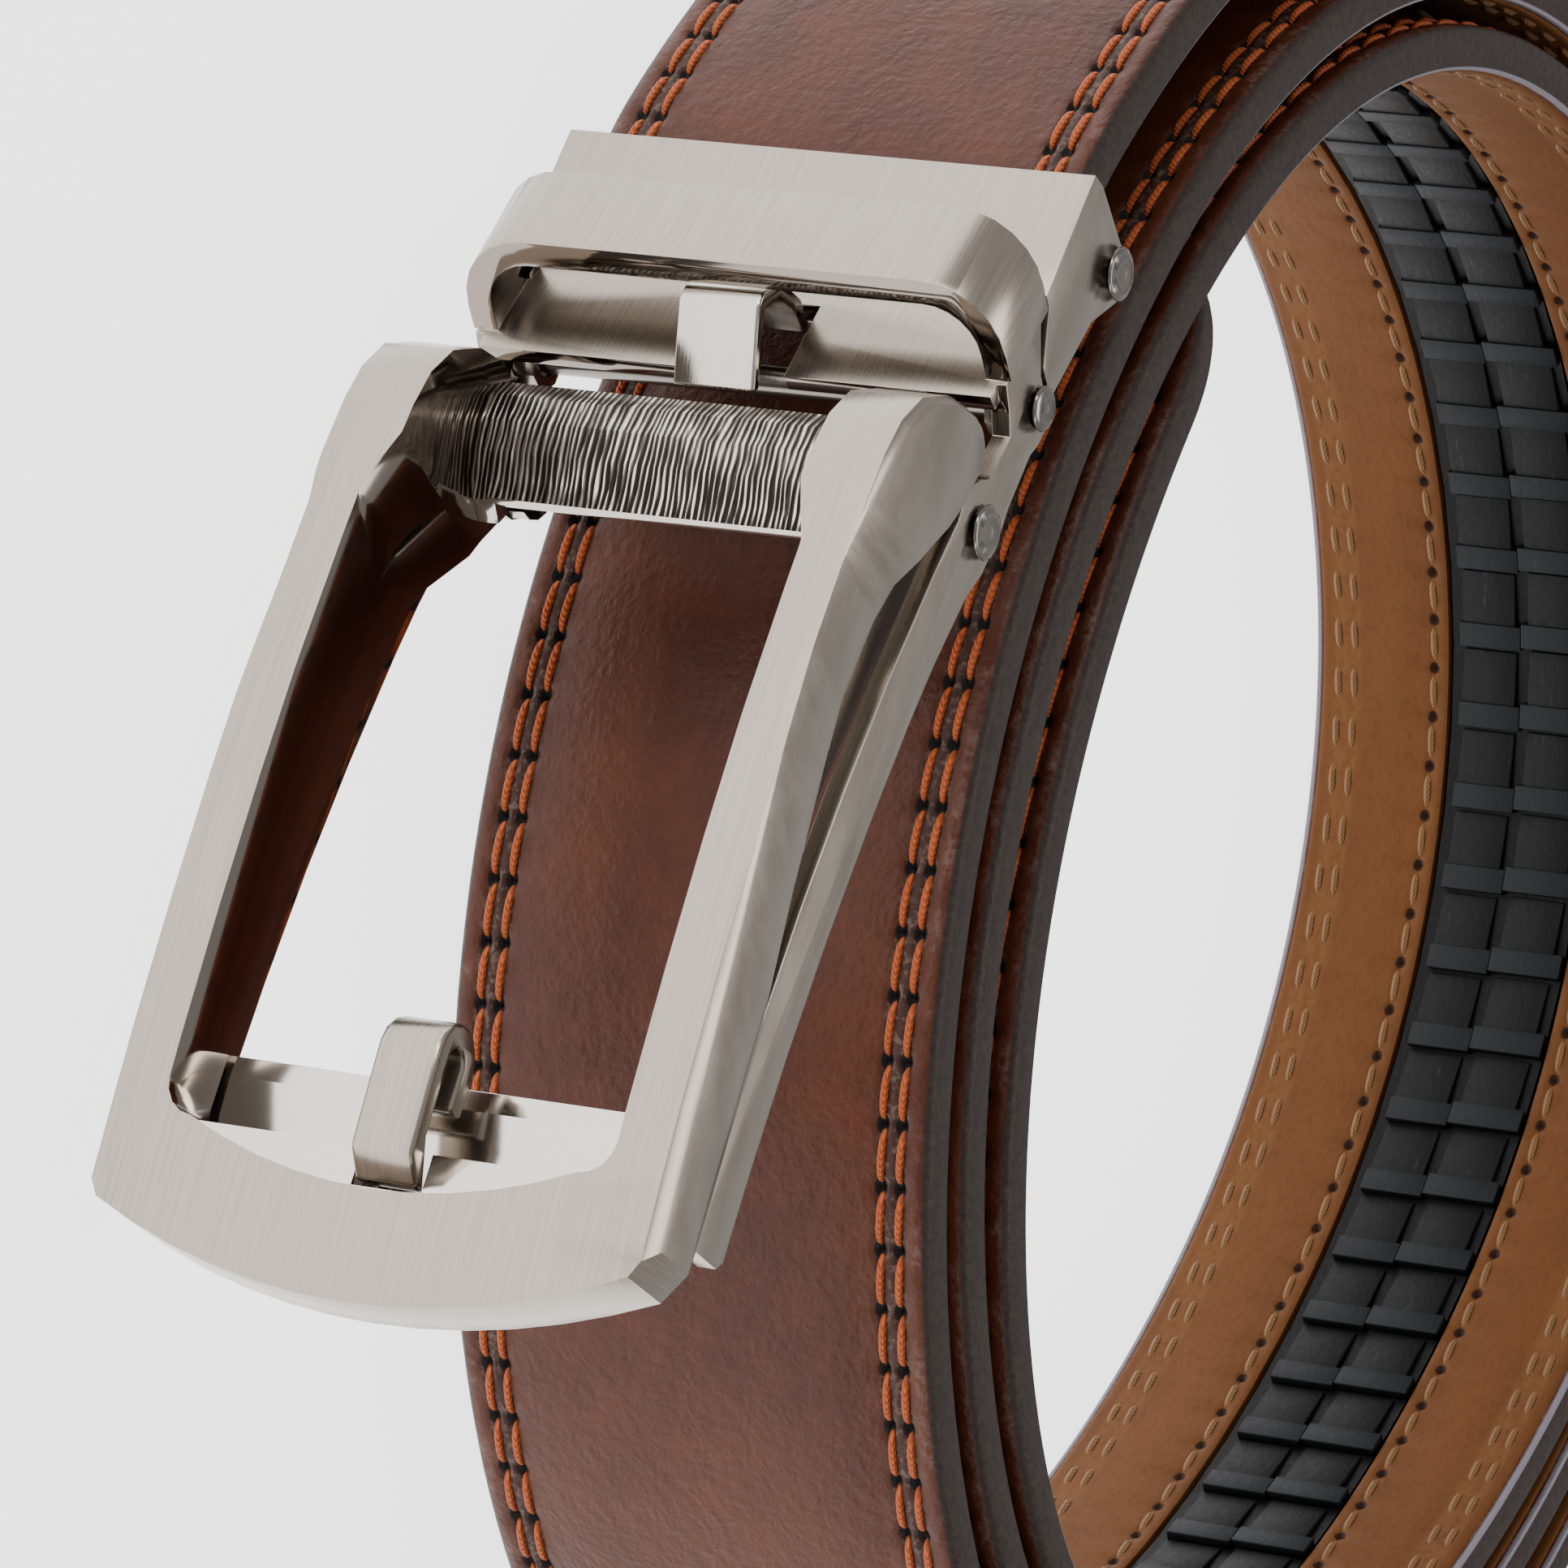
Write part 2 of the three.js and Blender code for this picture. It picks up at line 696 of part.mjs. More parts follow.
function frontFrame() {
  const reach = frameLength + bottomBow;
  const overRail = railDepth + frameGap;
  const earLength = framePinReach;
  const fall = frameFrontHigh - frameFrontLow;
  const front = [
    ...earLine.map(({ along, height }) => [earReach + along * earLength, height * earHeight]),
    ...ridgeLine.map(({ along, drop }) => [along * frameLength, frameFrontHigh - drop * fall]),
    [reach + cutSlack, frameFrontLow],
  ];
  const skin = [
    ...front, [reach, overRail + frameGap], [frameLength * 0.94, overRail], [frameLength * 0.75, overRail],
    [frameLength * 0.42, frameBackHigh], [frameLength * 0.3, frameBackHigh],
    ...earBack.map(({ along, height }) => [along * framePinReach, height * earHeight]),
  ];
  const arms = [
    [framePinReach - 2 * pinRadius, overRail + frameGap],
    ...armFront.map(({ along, overBack }) => [along * frameLength, frameBackHigh + overBack]),
    ...armBack.map(({ along, overRail: over }) => [along * frameLength, railDepth + over]),
    ...arc([framePinReach, framePinHeight], pinRadius + armPinWall, -10, -190, 8),
    [framePinReach - pinRadius - armPinWall, railDepth],
  ];
  const base = half => half * frameWidth / 2 + frameBaseFlare;
  const edge = frameEdge.map(({ along, half }) => [along * frameLength, base(half)]);
  const plan = [
    ...edge, ...bottomArc(frameHalf - frameCorner, frameLength, bottomBow, 12),
    ...edge.map(([s, z]) => [s, -z]).reverse(),
  ];
  const windowEnd = reach - bottomBarLength;
  const lowerHalf = windowHalf - windowCorner;
  const corner = windowEnd - windowBow;
  const rounding = arc([corner - windowCorner, lowerHalf], windowCorner, 90, 0, 4);
  const opening = [
    [0, earInner], [framePinReach * shoulderFrom, earInner], [framePinReach * shoulderTo, windowHalf],
    ...rounding, ...bottomArc(lowerHalf, corner, windowBow, 10).slice(1, -1),
    ...rounding.map(([s, z]) => [s, -z]).reverse(),
    [framePinReach * shoulderTo, -windowHalf], [framePinReach * shoulderFrom, -earInner], [0, -earInner],
  ];
  const ledgeFrom = windowEnd - ledgeLength;
  const ledge = planPrism(rectangle(ledgeFrom, -windowHalf - frameGap, windowEnd + frameGap,
    windowHalf + frameGap), overRail, frameFrontLow - ledgeDrop);
  const notch = planPrism(rectangle(ledgeFrom - cutSlack, -prongWidth / 2 - pieceGap,
    windowEnd - prongSeat + pieceGap, prongWidth / 2 + pieceGap), 0, earHeight);
  const armOuter = railInner - pieceGap;
  const block = sidePrism(skin, -frameHalf - cutSlack, frameHalf + cutSlack)
    .subtract(sideBevel(front, 1)).subtract(sideBevel(front, -1))
    .add(sidePrism(arms, -armOuter, armOuter));
  const straight = block.intersect(planPrism(plan, -earHeight, 2 * earHeight))
    .subtract(planPrism(opening, -earHeight, 2 * earHeight)).add(ledge);
  return bent(straight.subtract(notch).subtract(pinHole(framePinReach, framePinHeight)));
}

// Grip bar outline: shares of its length and height
const gripOutline = [
  { along: 0, height: 0.64 },
  { along: 0, height: 0.79 },
  { along: 0.09, height: 0.94 },
  { along: 0.26, height: 1 },
  { along: 0.48, height: 0.975 },
  { along: 0.7, height: 0.865 },
  { along: 0.87, height: 0.73 },
  { along: 1, height: 0.655 },
  { along: 1, height: 0.555 },
  { along: 0.75, height: 0.47 },
  { along: 0.19, height: 0.457 },
];
const cheekOutline = [
  { along: 0.01, height: 0.52 },
  ...gripOutline.slice(1, 7),
  { along: 1, height: 0.62 },
  { along: 1.07, height: 0.42 },
  { along: 0.9, height: 0.36 },
];

function gripBar() {
  const place = ({ along, height }) => [gripFrom + along * gripLength, height * gripHeight];
  const cheek = [
    ...cheekOutline.map(place),
    ...arc([framePinReach, framePinHeight], pinRadius + armPinWall - bossRim / 2, 0, -180, 7),
  ];
  const bar = sidePrism(gripOutline.map(place), -gripHalf - cheekWall / 4, gripHalf + cheekWall / 4);
  const grip = joined([bar, ...mirroredPrisms(cheek, gripHalf, gripHalf + cheekWall)]);
  return bent(grip.subtract(pinHole(framePinReach, framePinHeight)));
}

// Hooked prong seated in the notch of the frame's ledge
function prong() {
  const base = frameLength + bottomBow - bottomBarLength - prongSeat;
  const hookAt = [base - prongLength + prongBend / 2, prongHeight - prongBend];
  const shape = [
    [base - prongWall, prongHeight - prongWall / 3], [base, prongHeight - prongWall * 1.5],
    [base, prongHeight - prongWall * 2.2], [base - 2 * prongWall, prongHeight - prongWall * 1.2],
    [hookAt[0], prongHeight - prongWall],
    ...arc(hookAt, prongBend - prongWall, 100, 260, 5),
    [hookAt[0] + prongBend, hookAt[1] - prongBend + prongWall], [hookAt[0] + prongBend, hookAt[1] - prongBend],
    ...arc(hookAt, prongBend, 255, 95, 7),
  ];
  return bent(sidePrism(shape, -prongWidth / 2, prongWidth / 2));
}

// Where the coil and the frame touch the floor: shares of the coil's radius and the frame's length
const coilReach = 1.18;
const frameLow = 0.66;

// Materials and assembly
const finish = {
  leather: new THREE.MeshStandardMaterial({ color: 0x5a2f24, roughness: 0.38, metalness: 0 }),
  lining: new THREE.MeshStandardMaterial({ color: 0x7a5236, roughness: 0.9, metalness: 0 }),
  track: new THREE.MeshStandardMaterial({ color: 0x2c2c30, roughness: 0.55, metalness: 0 }),
  brushed: new THREE.MeshStandardMaterial({ color: 0xc8c2b8, roughness: 0.34, metalness: 1 }),
  polished: new THREE.MeshStandardMaterial({ color: 0xcfcac2, roughness: 0.12, metalness: 1 }),
  knurled: new THREE.MeshStandardMaterial({ color: 0x8d8880, roughness: 0.4, metalness: 1 }),
};

function piece(name, geometry, material) {
  const mesh = new THREE.Mesh(geometry, material);
  mesh.name = name;
  return mesh;
}

const clamp = new THREE.Group();
clamp.rotation.z = clampAngle;
const clampAlong = new THREE.Vector2(Math.cos(clampAngle), Math.sin(clampAngle));
const clampOutward = new THREE.Vector2(-clampAlong.y, clampAlong.x);
const hinge = mouthPoint(radians(mouthTurn)).addScaledVector(clampAlong, -clampLength)
  .addScaledVector(clampOutward, -strapSeat);
clamp.position.set(hinge.x, hinge.y, 0);
const clampPin = piece('clamp_pin', rivet(pinHeadRadius, pinHeadRise), finish.polished);
clampPin.position.set(clampLength - clampPinInset, hingeDepth - clampDepth, 0);
clamp.add(
  piece('clamp_cover', clampCover(), finish.brushed),
  piece('clamp_jaw', clampJaw(), finish.polished),
  clampPin,
);

const buckle = new THREE.Group();
buckle.rotation.z = -radians(buckleTurn);
const framePinAngle = -framePinReach / buckleBend;
const framePin = piece('frame_pin', rivet(pinHeadRadius, pinHeadRise), finish.polished);
framePin.position.set(
  (buckleBend + framePinHeight) * Math.sin(framePinAngle),
  (buckleBend + framePinHeight) * Math.cos(framePinAngle) - buckleBend - hingeHeight, 0);
buckle.add(
  piece('buckle_body', buckleBody(), finish.brushed),
  piece('release_tab', releaseTab(), finish.polished),
  piece('body_pin', rivet(bodyPinHeadRadius, pinHeadRise), finish.polished),
  framePin,
  piece('front_frame', frontFrame(), finish.brushed),
  piece('grip_bar', gripBar(), finish.knurled),
  piece('prong', prong(), finish.brushed),
);
clamp.add(buckle);

// The buckle is wider than the strap, so the coil leans on the buckle and its far side until both rest at z = 0
const belt = new THREE.Group();
belt.add(
  piece('strap', alongRoute(leatherProfile), finish.leather),
  piece('lining', alongRoute(liningProfile), finish.lining),
  piece('ratchet_track', trackGeometry(), finish.track),
  clamp,
);
const frameSide = -hinge.y + frameLength * frameLow;
belt.rotation.x = -Math.atan2(frameHalf - halfStrap, coilRadius * coilReach + frameSide);
belt.updateMatrixWorld(true);
const bounds = new THREE.Box3().setFromObject(belt, true);
const middle = bounds.getCenter(new THREE.Vector3());
belt.position.set(-middle.x, -middle.y, -bounds.min.z);

export default belt;
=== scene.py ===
"""Looks of the coiled ratchet belt: stitched leather, lining, toothed track and brushed buckle."""

import math

import bpy
import numpy as np
from mathutils import Euler, Matrix, Vector


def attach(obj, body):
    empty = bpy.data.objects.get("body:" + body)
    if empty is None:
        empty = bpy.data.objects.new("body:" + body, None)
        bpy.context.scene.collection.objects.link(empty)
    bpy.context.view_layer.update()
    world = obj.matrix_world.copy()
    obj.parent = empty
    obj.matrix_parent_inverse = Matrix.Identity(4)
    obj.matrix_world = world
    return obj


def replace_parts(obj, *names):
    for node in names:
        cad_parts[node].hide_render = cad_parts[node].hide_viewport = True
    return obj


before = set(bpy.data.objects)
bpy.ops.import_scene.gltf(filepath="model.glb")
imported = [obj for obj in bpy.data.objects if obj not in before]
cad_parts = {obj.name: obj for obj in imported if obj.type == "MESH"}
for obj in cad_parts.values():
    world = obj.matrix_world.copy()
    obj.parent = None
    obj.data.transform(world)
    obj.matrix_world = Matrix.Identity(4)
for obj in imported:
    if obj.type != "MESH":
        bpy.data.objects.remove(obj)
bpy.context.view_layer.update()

MM = 0.001
# Axes of the straight belt: along it, out from its middle and across it
ALONG, OUT, ACROSS = 0, 1, 2

# Where the coil's own axes stand: it leans a little, because the buckle is wider than the strap
COIL_PLACE = Matrix((
    (1, 0, 0, 2.7228889),
    (0, 0.9999272, 0.0120665, 18.8653965),
    (0, -0.0120665, 0.9999272, 18.6146911),
    (0, 0, 0, 1),
))

# Route of the strap's middle line from the buckle inwards, in turns, degrees and millimetres
COIL_RADIUS = 61.6
OVAL_SWING, OVAL_ANGLE = 3.35, -66.5
LOBE_SWING, LOBE_ANGLE = 0.96, -34.2
FLAT_SWING, FLAT_ANGLE = 0.39, -1.6
TURN_PITCH, PITCH_GROWTH, MEAN_TURN = 4.9, 0.3, 2.35
FIRST_TURN, LAST_TURN = 0.1283, 3.166
LAUNCH_LIFT, LAUNCH_TURN = 4.95, 0.36
MOUTH_LIFT, MOUTH_POWER = 0.5, 12
MOUTH_BEND, MOUTH_TURN, MOUTH_SHARES = 5.0, 11.6, (0.75, 0.5, 0.25)
STRAP_TUCK, TUCK_POINTS = 9.2, 6
TIP_TURNS, TIP_SPRING, SPRING_POWER, TIP_TOUCH, TOUCH_POWER = 0.269, 2.1, 1.2, 0.9, 8
LINE_STEP, TANGENT_STEP = 2.0, 1e-4
TIP_LENGTH, TIP_SHARE = 16.0, 0.4

# Padded crown of the leather
HALF_STRAP = 17.5
FACE = 1.65
CROWN_RISE, CROWN_HALF, CROWN_POWER = 0.7, 13.6, 4.5
CROWN_FADE = 22.0
CREASE_ANGLE = math.radians(40)

# Rows of stitches, and how wide, long and deep the corners sink at each thread hole
STITCH_PITCH = 4.0
ROW_NEAR, ROW_FAR, LINING_ROW = 14.15, 15.5, 7.4
STITCH_ROWS = (-ROW_FAR, -ROW_NEAR, ROW_NEAR, ROW_FAR)
LINING_ROWS = (-LINING_ROW, LINING_ROW)
LEATHER_HOLE, LEATHER_FACE = (0.36, 0.5, 0.6), 1.4
LINING_HOLE, LINING_FACE = (0.3, 0.35, 0.4), -1.5

# One stitch of each thread
STITCH_SLANT = math.tan(math.radians(3))
OUTER_STITCH = {"out": FACE + 0.04, "radius": 0.27, "length": 3.5, "sides": 8, "dip": 0.45}
LINING_STITCH = {"out": -FACE + 0.06, "radius": 0.3, "length": 2.9, "sides": 6, "dip": 0.3}
LEAST_GIRTH, DIP_POWER = 0.01, 4

# Toothed track
TRACK_HALF = 5.9
TRACK_BACK, TRACK_FLOOR, TRACK_CREST = -0.9, -1.3, -2.05
BLOCK_BACK, BLOCK_TOP, BLOCK_EDGE = -1.2, -1.88, 0.12
TOOTH_PITCH, TOOTH_COUNT, TRACK_TIP_MARGIN = 6.6, 52, 14.0

# Direction of the buckle's length in the belt's frame
BUCKLE_TURN = math.radians(-37.0)
# Size of the hairlines and of the clouds in the metal
HAIRLINE = (0.012, 0.004, 0.00009)
METAL_CLOUD = (0.02, 0.01, 0.006)
# Where the metal is bare polish: lit bars near the buckle's far end, walls, and the grip bar's
# lip; the lit bars and the ledge get a painted highlight tone and the walls a painted shade tone
END_BAR_REACH = 0.012
LEDGE_REACH, LEDGE_HALF, LEDGE_LEAN = 0.0125, 0.0145, 0.19
HIGHLIGHT_POLISH, FACING_FRONT, WALL_LEAN, LIP_FACING = 0.8, -0.9, 0.6, 0.66
# Broken edges of the metal
WELD, FLAT_ANGLE_LIMIT = 0.02, math.radians(0.8)
EDGE_SEGMENTS, EDGE_ANGLE, METAL_CREASE = 2, math.radians(28), math.radians(35)
# Edge, rim and dimple of a rivet, and which of its faces are its ends
RIVET_EDGE, RIVET_RIM, RIVET_DIMPLE = 0.15, 0.5, 0.25
END_FACING, END_DEPTH = 0.95, 0.1

# Lamps: place, aim, size and power
SOFTBOXES = {
    "overhead_softbox": ((0.0, 0.3, 1.2), (0, 0, 0), (1.0, 0.6), 8),
    "front_softbox": ((-0.9, -0.6, 0.35), (0, 0, 0.02), (0.2, 0.7), 5),
    "side_softbox": ((0.9, -0.7, 0.6), (0, 0, 0.02), (0.4, 0.4), 3),
}
WHITE = (1, 1, 1, 1)
FLOOR_SIZE, FLOOR_GREY, FLOOR_GLOW, AIR_GLOW = 6, (0.45, 0.45, 0.45, 1), 2.6, 0.6
CAMERA_SENSOR, CAMERA_LENS, CAMERA_CLIP = 36, 206.45, (0.01, 20)
CAMERA_PLACE = (-0.090989, -0.553501, 0.289439)
CAMERA_TURN = (-0.236016, -1.074985, 1.681364)


def object_mode():
    bpy.ops.object.mode_set(mode="OBJECT")


def edit_all():
    bpy.ops.object.mode_set(mode="EDIT")
    bpy.ops.mesh.select_all(action="SELECT")


def nothing_selected():
    if bpy.context.object and bpy.context.object.mode != "OBJECT":
        object_mode()
    bpy.ops.object.select_all(action="DESELECT")


def picked(piece):
    nothing_selected()
    piece.select_set(True)
    bpy.context.view_layer.objects.active = piece
    return piece


def linked(name, data):
    piece = bpy.data.objects.new(name, data)
    bpy.context.scene.collection.objects.link(piece)
    return piece


def painted(piece, paint):
    piece.data.materials.clear()
    piece.data.materials.append(paint)


def applied(piece, kind, **settings):
    picked(piece)
    step = piece.modifiers.new(kind.lower(), kind)
    for name, value in settings.items():
        setattr(step, name, value)
    bpy.ops.object.modifier_apply(modifier=step.name)
    return piece


def corners(piece):
    places = np.empty(len(piece.data.vertices) * 3, np.float32)
    piece.data.vertices.foreach_get("co", places)
    return places.reshape(-1, 3).astype(float)


def set_corners(piece, places):
    piece.data.vertices.foreach_set("co", np.asarray(places, np.float32).ravel())
    piece.data.update()


def mirrored(half):
    """Half a profile carried on to the other edge of the belt."""
    return [(-across, out) for across, out in reversed(half)]


# ---- Paint ----


class Value:
    """A socket in a paint's mix; sums of values become Math nodes."""

    def __init__(self, paint, socket):
        self.paint, self.socket = paint, socket

    def math(self, operation, *others):
        inputs = dict(enumerate((self, *others)))
        return self.paint.node("ShaderNodeMath", {"operation": operation}, inputs)

    def __add__(self, other):
        return self.math("ADD", other)

    __radd__ = __add__

    def __mul__(self, other):
        return self.math("MULTIPLY", other)

    __rmul__ = __mul__

    def __sub__(self, other):
        return self.math("SUBTRACT", other)

    def __rsub__(self, other):
        return self.paint.node("ShaderNodeMath", {"operation": "SUBTRACT"}, {0: other, 1: self})

    def __truediv__(self, other):
        return self.math("DIVIDE", other)

    def squared(self):
        return self.math("POWER", 2)

    def at_most(self, most):
        return self.math("MINIMUM", most)

    def above(self, edge, softness):
        """0 under the edge and 1 past it, with a soft step."""
        return self.paint.node(
            "ShaderNodeMapRange",
            {"interpolation_type": "SMOOTHSTEP"},
            {"Value": self, "From Min": edge - softness, "From Max": edge + softness},
        )

    def below(self, edge, softness):
        return 1 - self.above(edge, softness)

    def absolute(self):
        return self.math("ABSOLUTE")

    def wrapped(self, span):
        """Distance to the nearest whole multiple of the span."""
        return self.math("PINGPONG", span / 2)


class Paint:
    """One material, mixed from nodes."""

    def __init__(self, name, **constants):
        self.material = bpy.data.materials.new(name)
        self.material.use_nodes = True
        self.tree = self.material.node_tree
        self.shader = self.tree.nodes["Principled BSDF"]
        for socket, value in constants.items():
            self.shader.inputs[socket.replace("_", " ")].default_value = value

    def put(self, socket, value):
        if isinstance(value, Value):
            self.tree.links.new(value.socket, socket)
        else:
            socket.default_value = value

    def node(self, kind, settings=None, inputs=None, out=0):
        made = self.tree.nodes.new(kind)
        for name, value in (settings or {}).items():
            setattr(made, name, value)
        for name, value in (inputs or {}).items():
            self.put(made.inputs[name], value)
        return Value(self, made.outputs[out])

    def laid(self):
        """Millimetres along the belt, out from its middle and across it, before it was coiled."""
        return self.node("ShaderNodeAttribute", {"attribute_name": "laid"}, out=1)

    def polish(self):
        """How far a face of the metal is bare polish; on the rail and frame, 0.8 also picks a
        painted highlight tone and 1 a painted shade tone.
        """
        return self.node("ShaderNodeAttribute", {"attribute_name": "polish"}, out=2)

    def axis(self, vector, which):
        return self.node("ShaderNodeSeparateXYZ", {}, {0: vector}, out=which)

    def in_metal(self, grain):
        """Object coordinates turned to the buckle, in units of the grain's size."""
        place = self.node("ShaderNodeTexCoord", out=3)
        return self.node(
            "ShaderNodeMapping",
            {"vector_type": "TEXTURE"},
            {"Vector": place, "Rotation": (0, 0, BUCKLE_TURN), "Scale": grain},
        )

    def noise(self, vector, detail, roughness=0.5):
        return self.node(
            "ShaderNodeTexNoise",
            {},
            {"Vector": vector, "Scale": 1.0, "Detail": detail, "Roughness": roughness},
        )

    def grain(self, vector, scale, detail, roughness=0.5):
        """Noise with its own scale on each axis."""
        scaled = self.node(
            "ShaderNodeVectorMath", {"operation": "MULTIPLY"}, {0: vector, 1: scale}
        )
        return self.noise(scaled, detail, roughness)

    def mixed(self, share, first, second):
        """Colour that goes from the first to the second as the share rises."""
        return self.node(
            "ShaderNodeMix", {"data_type": "RGBA"}, {0: share, 6: first, 7: second}, out=2
        )

    def feed(self, socket, value):
        self.tree.links.new(value.socket, self.shader.inputs[socket])

    def bump(self, height, distance, strength=1.0):
        relief = self.node(
            "ShaderNodeBump", {}, {"Height": height, "Distance": distance, "Strength": strength}
        )
        self.feed("Normal", relief)


def tint(code):
    """Linear colour of a six-digit sRGB code."""
    parts = [int(code[i : i + 2], 16) / 255 for i in (0, 2, 4)]
    linear = [c / 12.92 if c <= 0.04045 else ((c + 0.055) / 1.055) ** 2.4 for c in parts]
    return (*linear, 1.0)


def around_hole(along, side, row, long, wide):
    """1 on the rim of the thread holes in one row of stitches, and less inside them."""
    return (along.wrapped(STITCH_STEP) / long).squared() + ((side - row) / wide).squared()


def leather_paint():
    """Mottled hide, darker lands with pale speckles under the stitches, painted shade in the
    thread holes, and a painted edge with a painted highlight line along its inner corner.
    """
    paint = Paint("waxed_leather", Roughness=0.4, Specular_IOR_Level=0.2)
    flat = paint.laid()
    along, out, across = (paint.axis(flat, which) for which in (ALONG, OUT, ACROSS))
    side = across.absolute()
    cloud = paint.grain(flat, (0.05, 0.1, 0.12), 4)
    mottle = paint.grain(flat, (0.3, 0.35, 0.35), 4, 0.6)
    grain = paint.grain(flat, (2.2, 2.2, 2.2), 3, 0.6)
    wrinkle = paint.grain(flat, (1.1, 1.1, 1.3), 2)
    hide = paint.mixed(cloud.above(0.5, 0.22), tint("3a190d"), tint("4b2514"))
    hide = paint.mixed(mottle.above(0.56, 0.18) * 0.22, hide, tint("602b1b"))
    hide = paint.mixed(grain.above(0.62, 0.16) * 0.3, hide, tint("260f09"))
    lands = side.above(ROW_NEAR - 0.4, 0.2) * side.below(ROW_FAR + 0.45, 0.15)
    near_hole, far_hole = (
        around_hole(along, side, row, 0.62, 0.46).below(1.0, 0.3) for row in (ROW_NEAR, ROW_FAR)
    )
    holes = (near_hole + far_hole).at_most(1.0)
    hide = paint.mixed(lands * 0.75, hide, tint("2c1c17"))
    hide = paint.mixed(lands * grain.above(0.58, 0.1) * 0.35, hide, tint("7b675d"))
    # Near-black thread holes: painted shade inside the holes
    hide = paint.mixed(holes * 0.97, hide, tint("090504"))
    burr = side.above(HALF_STRAP - 1.15, 0.25) * mottle.above(0.55, 0.1) * grain.above(0.5, 0.1)
    hide = paint.mixed(burr * 0.4, hide, tint("6a5a52"))
    edge = side.above(HALF_STRAP - 0.45, 0.12)
    edge_paint_and_highlight = paint.mixed(grain.above(0.5, 0.2), tint("211713"), tint("2f241f"))
    # Pale grey line along the edge's inner corner: a painted highlight
    edge_paint_and_highlight = paint.mixed(out.below(-1.22, 0.05), edge_paint_and_highlight, tint("77727a"))
    paint.feed("Base Color", paint.mixed(edge, hide, edge_paint_and_highlight))
    paint.feed("Roughness", 0.36 + cloud * 0.12 + edge * 0.1 + lands * 0.12)
    paint.bump(grain * 0.35 + wrinkle * 0.65, 0.00017)
    return paint.material


def lining_paint():
    """Tan skin, pricked beside the track and fuzzy under the outer rows, with painted shade in the
    thread holes and in the groove beside the track.
    """
    paint = Paint("tan_lining", Roughness=0.65, Specular_IOR_Level=0.12)
    flat = paint.laid()
    along, side = paint.axis(flat, ALONG), paint.axis(flat, ACROSS).absolute()
    cloud = paint.grain(flat, (0.07, 0.1, 0.2), 4)
    grain = paint.grain(flat, (1.4, 2.0, 2.2), 3, 0.6)
    skin = paint.mixed(cloud, tint("553217"), tint("684121"))
    skin = paint.mixed(grain.above(0.6, 0.15) * 0.25, skin, tint("432812"))
    # Dark thread holes beside the track: painted shade inside the holes
    hole = around_hole(along, side, LINING_ROW, 0.5, 0.42).below(1.0, 0.35)
    skin = paint.mixed(hole, skin, tint("2a160c"))
    fuzz = side.above(ROW_NEAR - 0.55, 0.3) * side.below(ROW_FAR + 0.5, 0.3)
    skin = paint.mixed(fuzz * grain.above(0.45, 0.15) * 0.3, skin, tint("7d5734"))
    # Near-black groove where the track sits: painted shade in the slot
    groove = side.below(TRACK_HALF + 0.25, 0.1)
    paint.feed("Base Color", paint.mixed(groove, skin, tint("120e0c")))
    paint.feed("Roughness", 0.55 + grain * 0.2)
    paint.bump(grain, 0.00005)
    return paint.material


def thread_paint(name, pale, deep, relief):
    """Twisted strands, each half a millimetre wide, with fine fibres along them, each strand
    painted from a deep shade tone to a pale highlight tone across its twist.
    """
    paint = Paint(name, Roughness=0.6, Specular_IOR_Level=0.3)
    flat = paint.laid()
    along, out, across = (paint.axis(flat, which) for which in (ALONG, OUT, ACROSS))
    strand = ((along + across * 1.3 + out * 1.3) / 0.5).wrapped(1.0) * 2
    fibre = paint.grain(flat, (2.0, 7.0, 7.0), 3)
    # Deep to pale across each strand: painted shade and painted highlight
    colour = paint.mixed(strand * 0.55 + fibre * 0.5, tint(deep), tint(pale))
    paint.feed("Base Color", colour)
    paint.bump(strand + fibre * 0.3, relief)
    return paint.material


def track_paint():
    """Black nylon with a painted highlight on its crests and painted shade between the blocks,
    with smears along it.
    """
    paint = Paint("track_nylon", Roughness=0.5, Specular_IOR_Level=0.16)
    flat = paint.laid()
    out = paint.axis(flat, OUT)
    grain = paint.grain(flat, (1.5, 3.0, 3.0), 3)
    smear = paint.grain(flat, (0.25, 1.0, 1.6), 4, 0.7)
    # Paler crests are a painted highlight; the darker low floor between the blocks is painted
    # shade
    raised = out.below(TRACK_CREST + 0.12, 0.05)
    low = out.above(TRACK_FLOOR - 0.15, 0.06)
    colour = paint.mixed(raised, tint("08090a"), tint("15171b"))
    colour = paint.mixed(low, colour, tint("020203"))
    colour = paint.mixed(smear.above(0.68, 0.05) * 0.3, colour, tint("46454c"))
    paint.feed("Base Color", colour)
    paint.feed("Roughness", 0.4 + grain * 0.25)
    paint.bump(grain, 0.00003)
    return paint.material


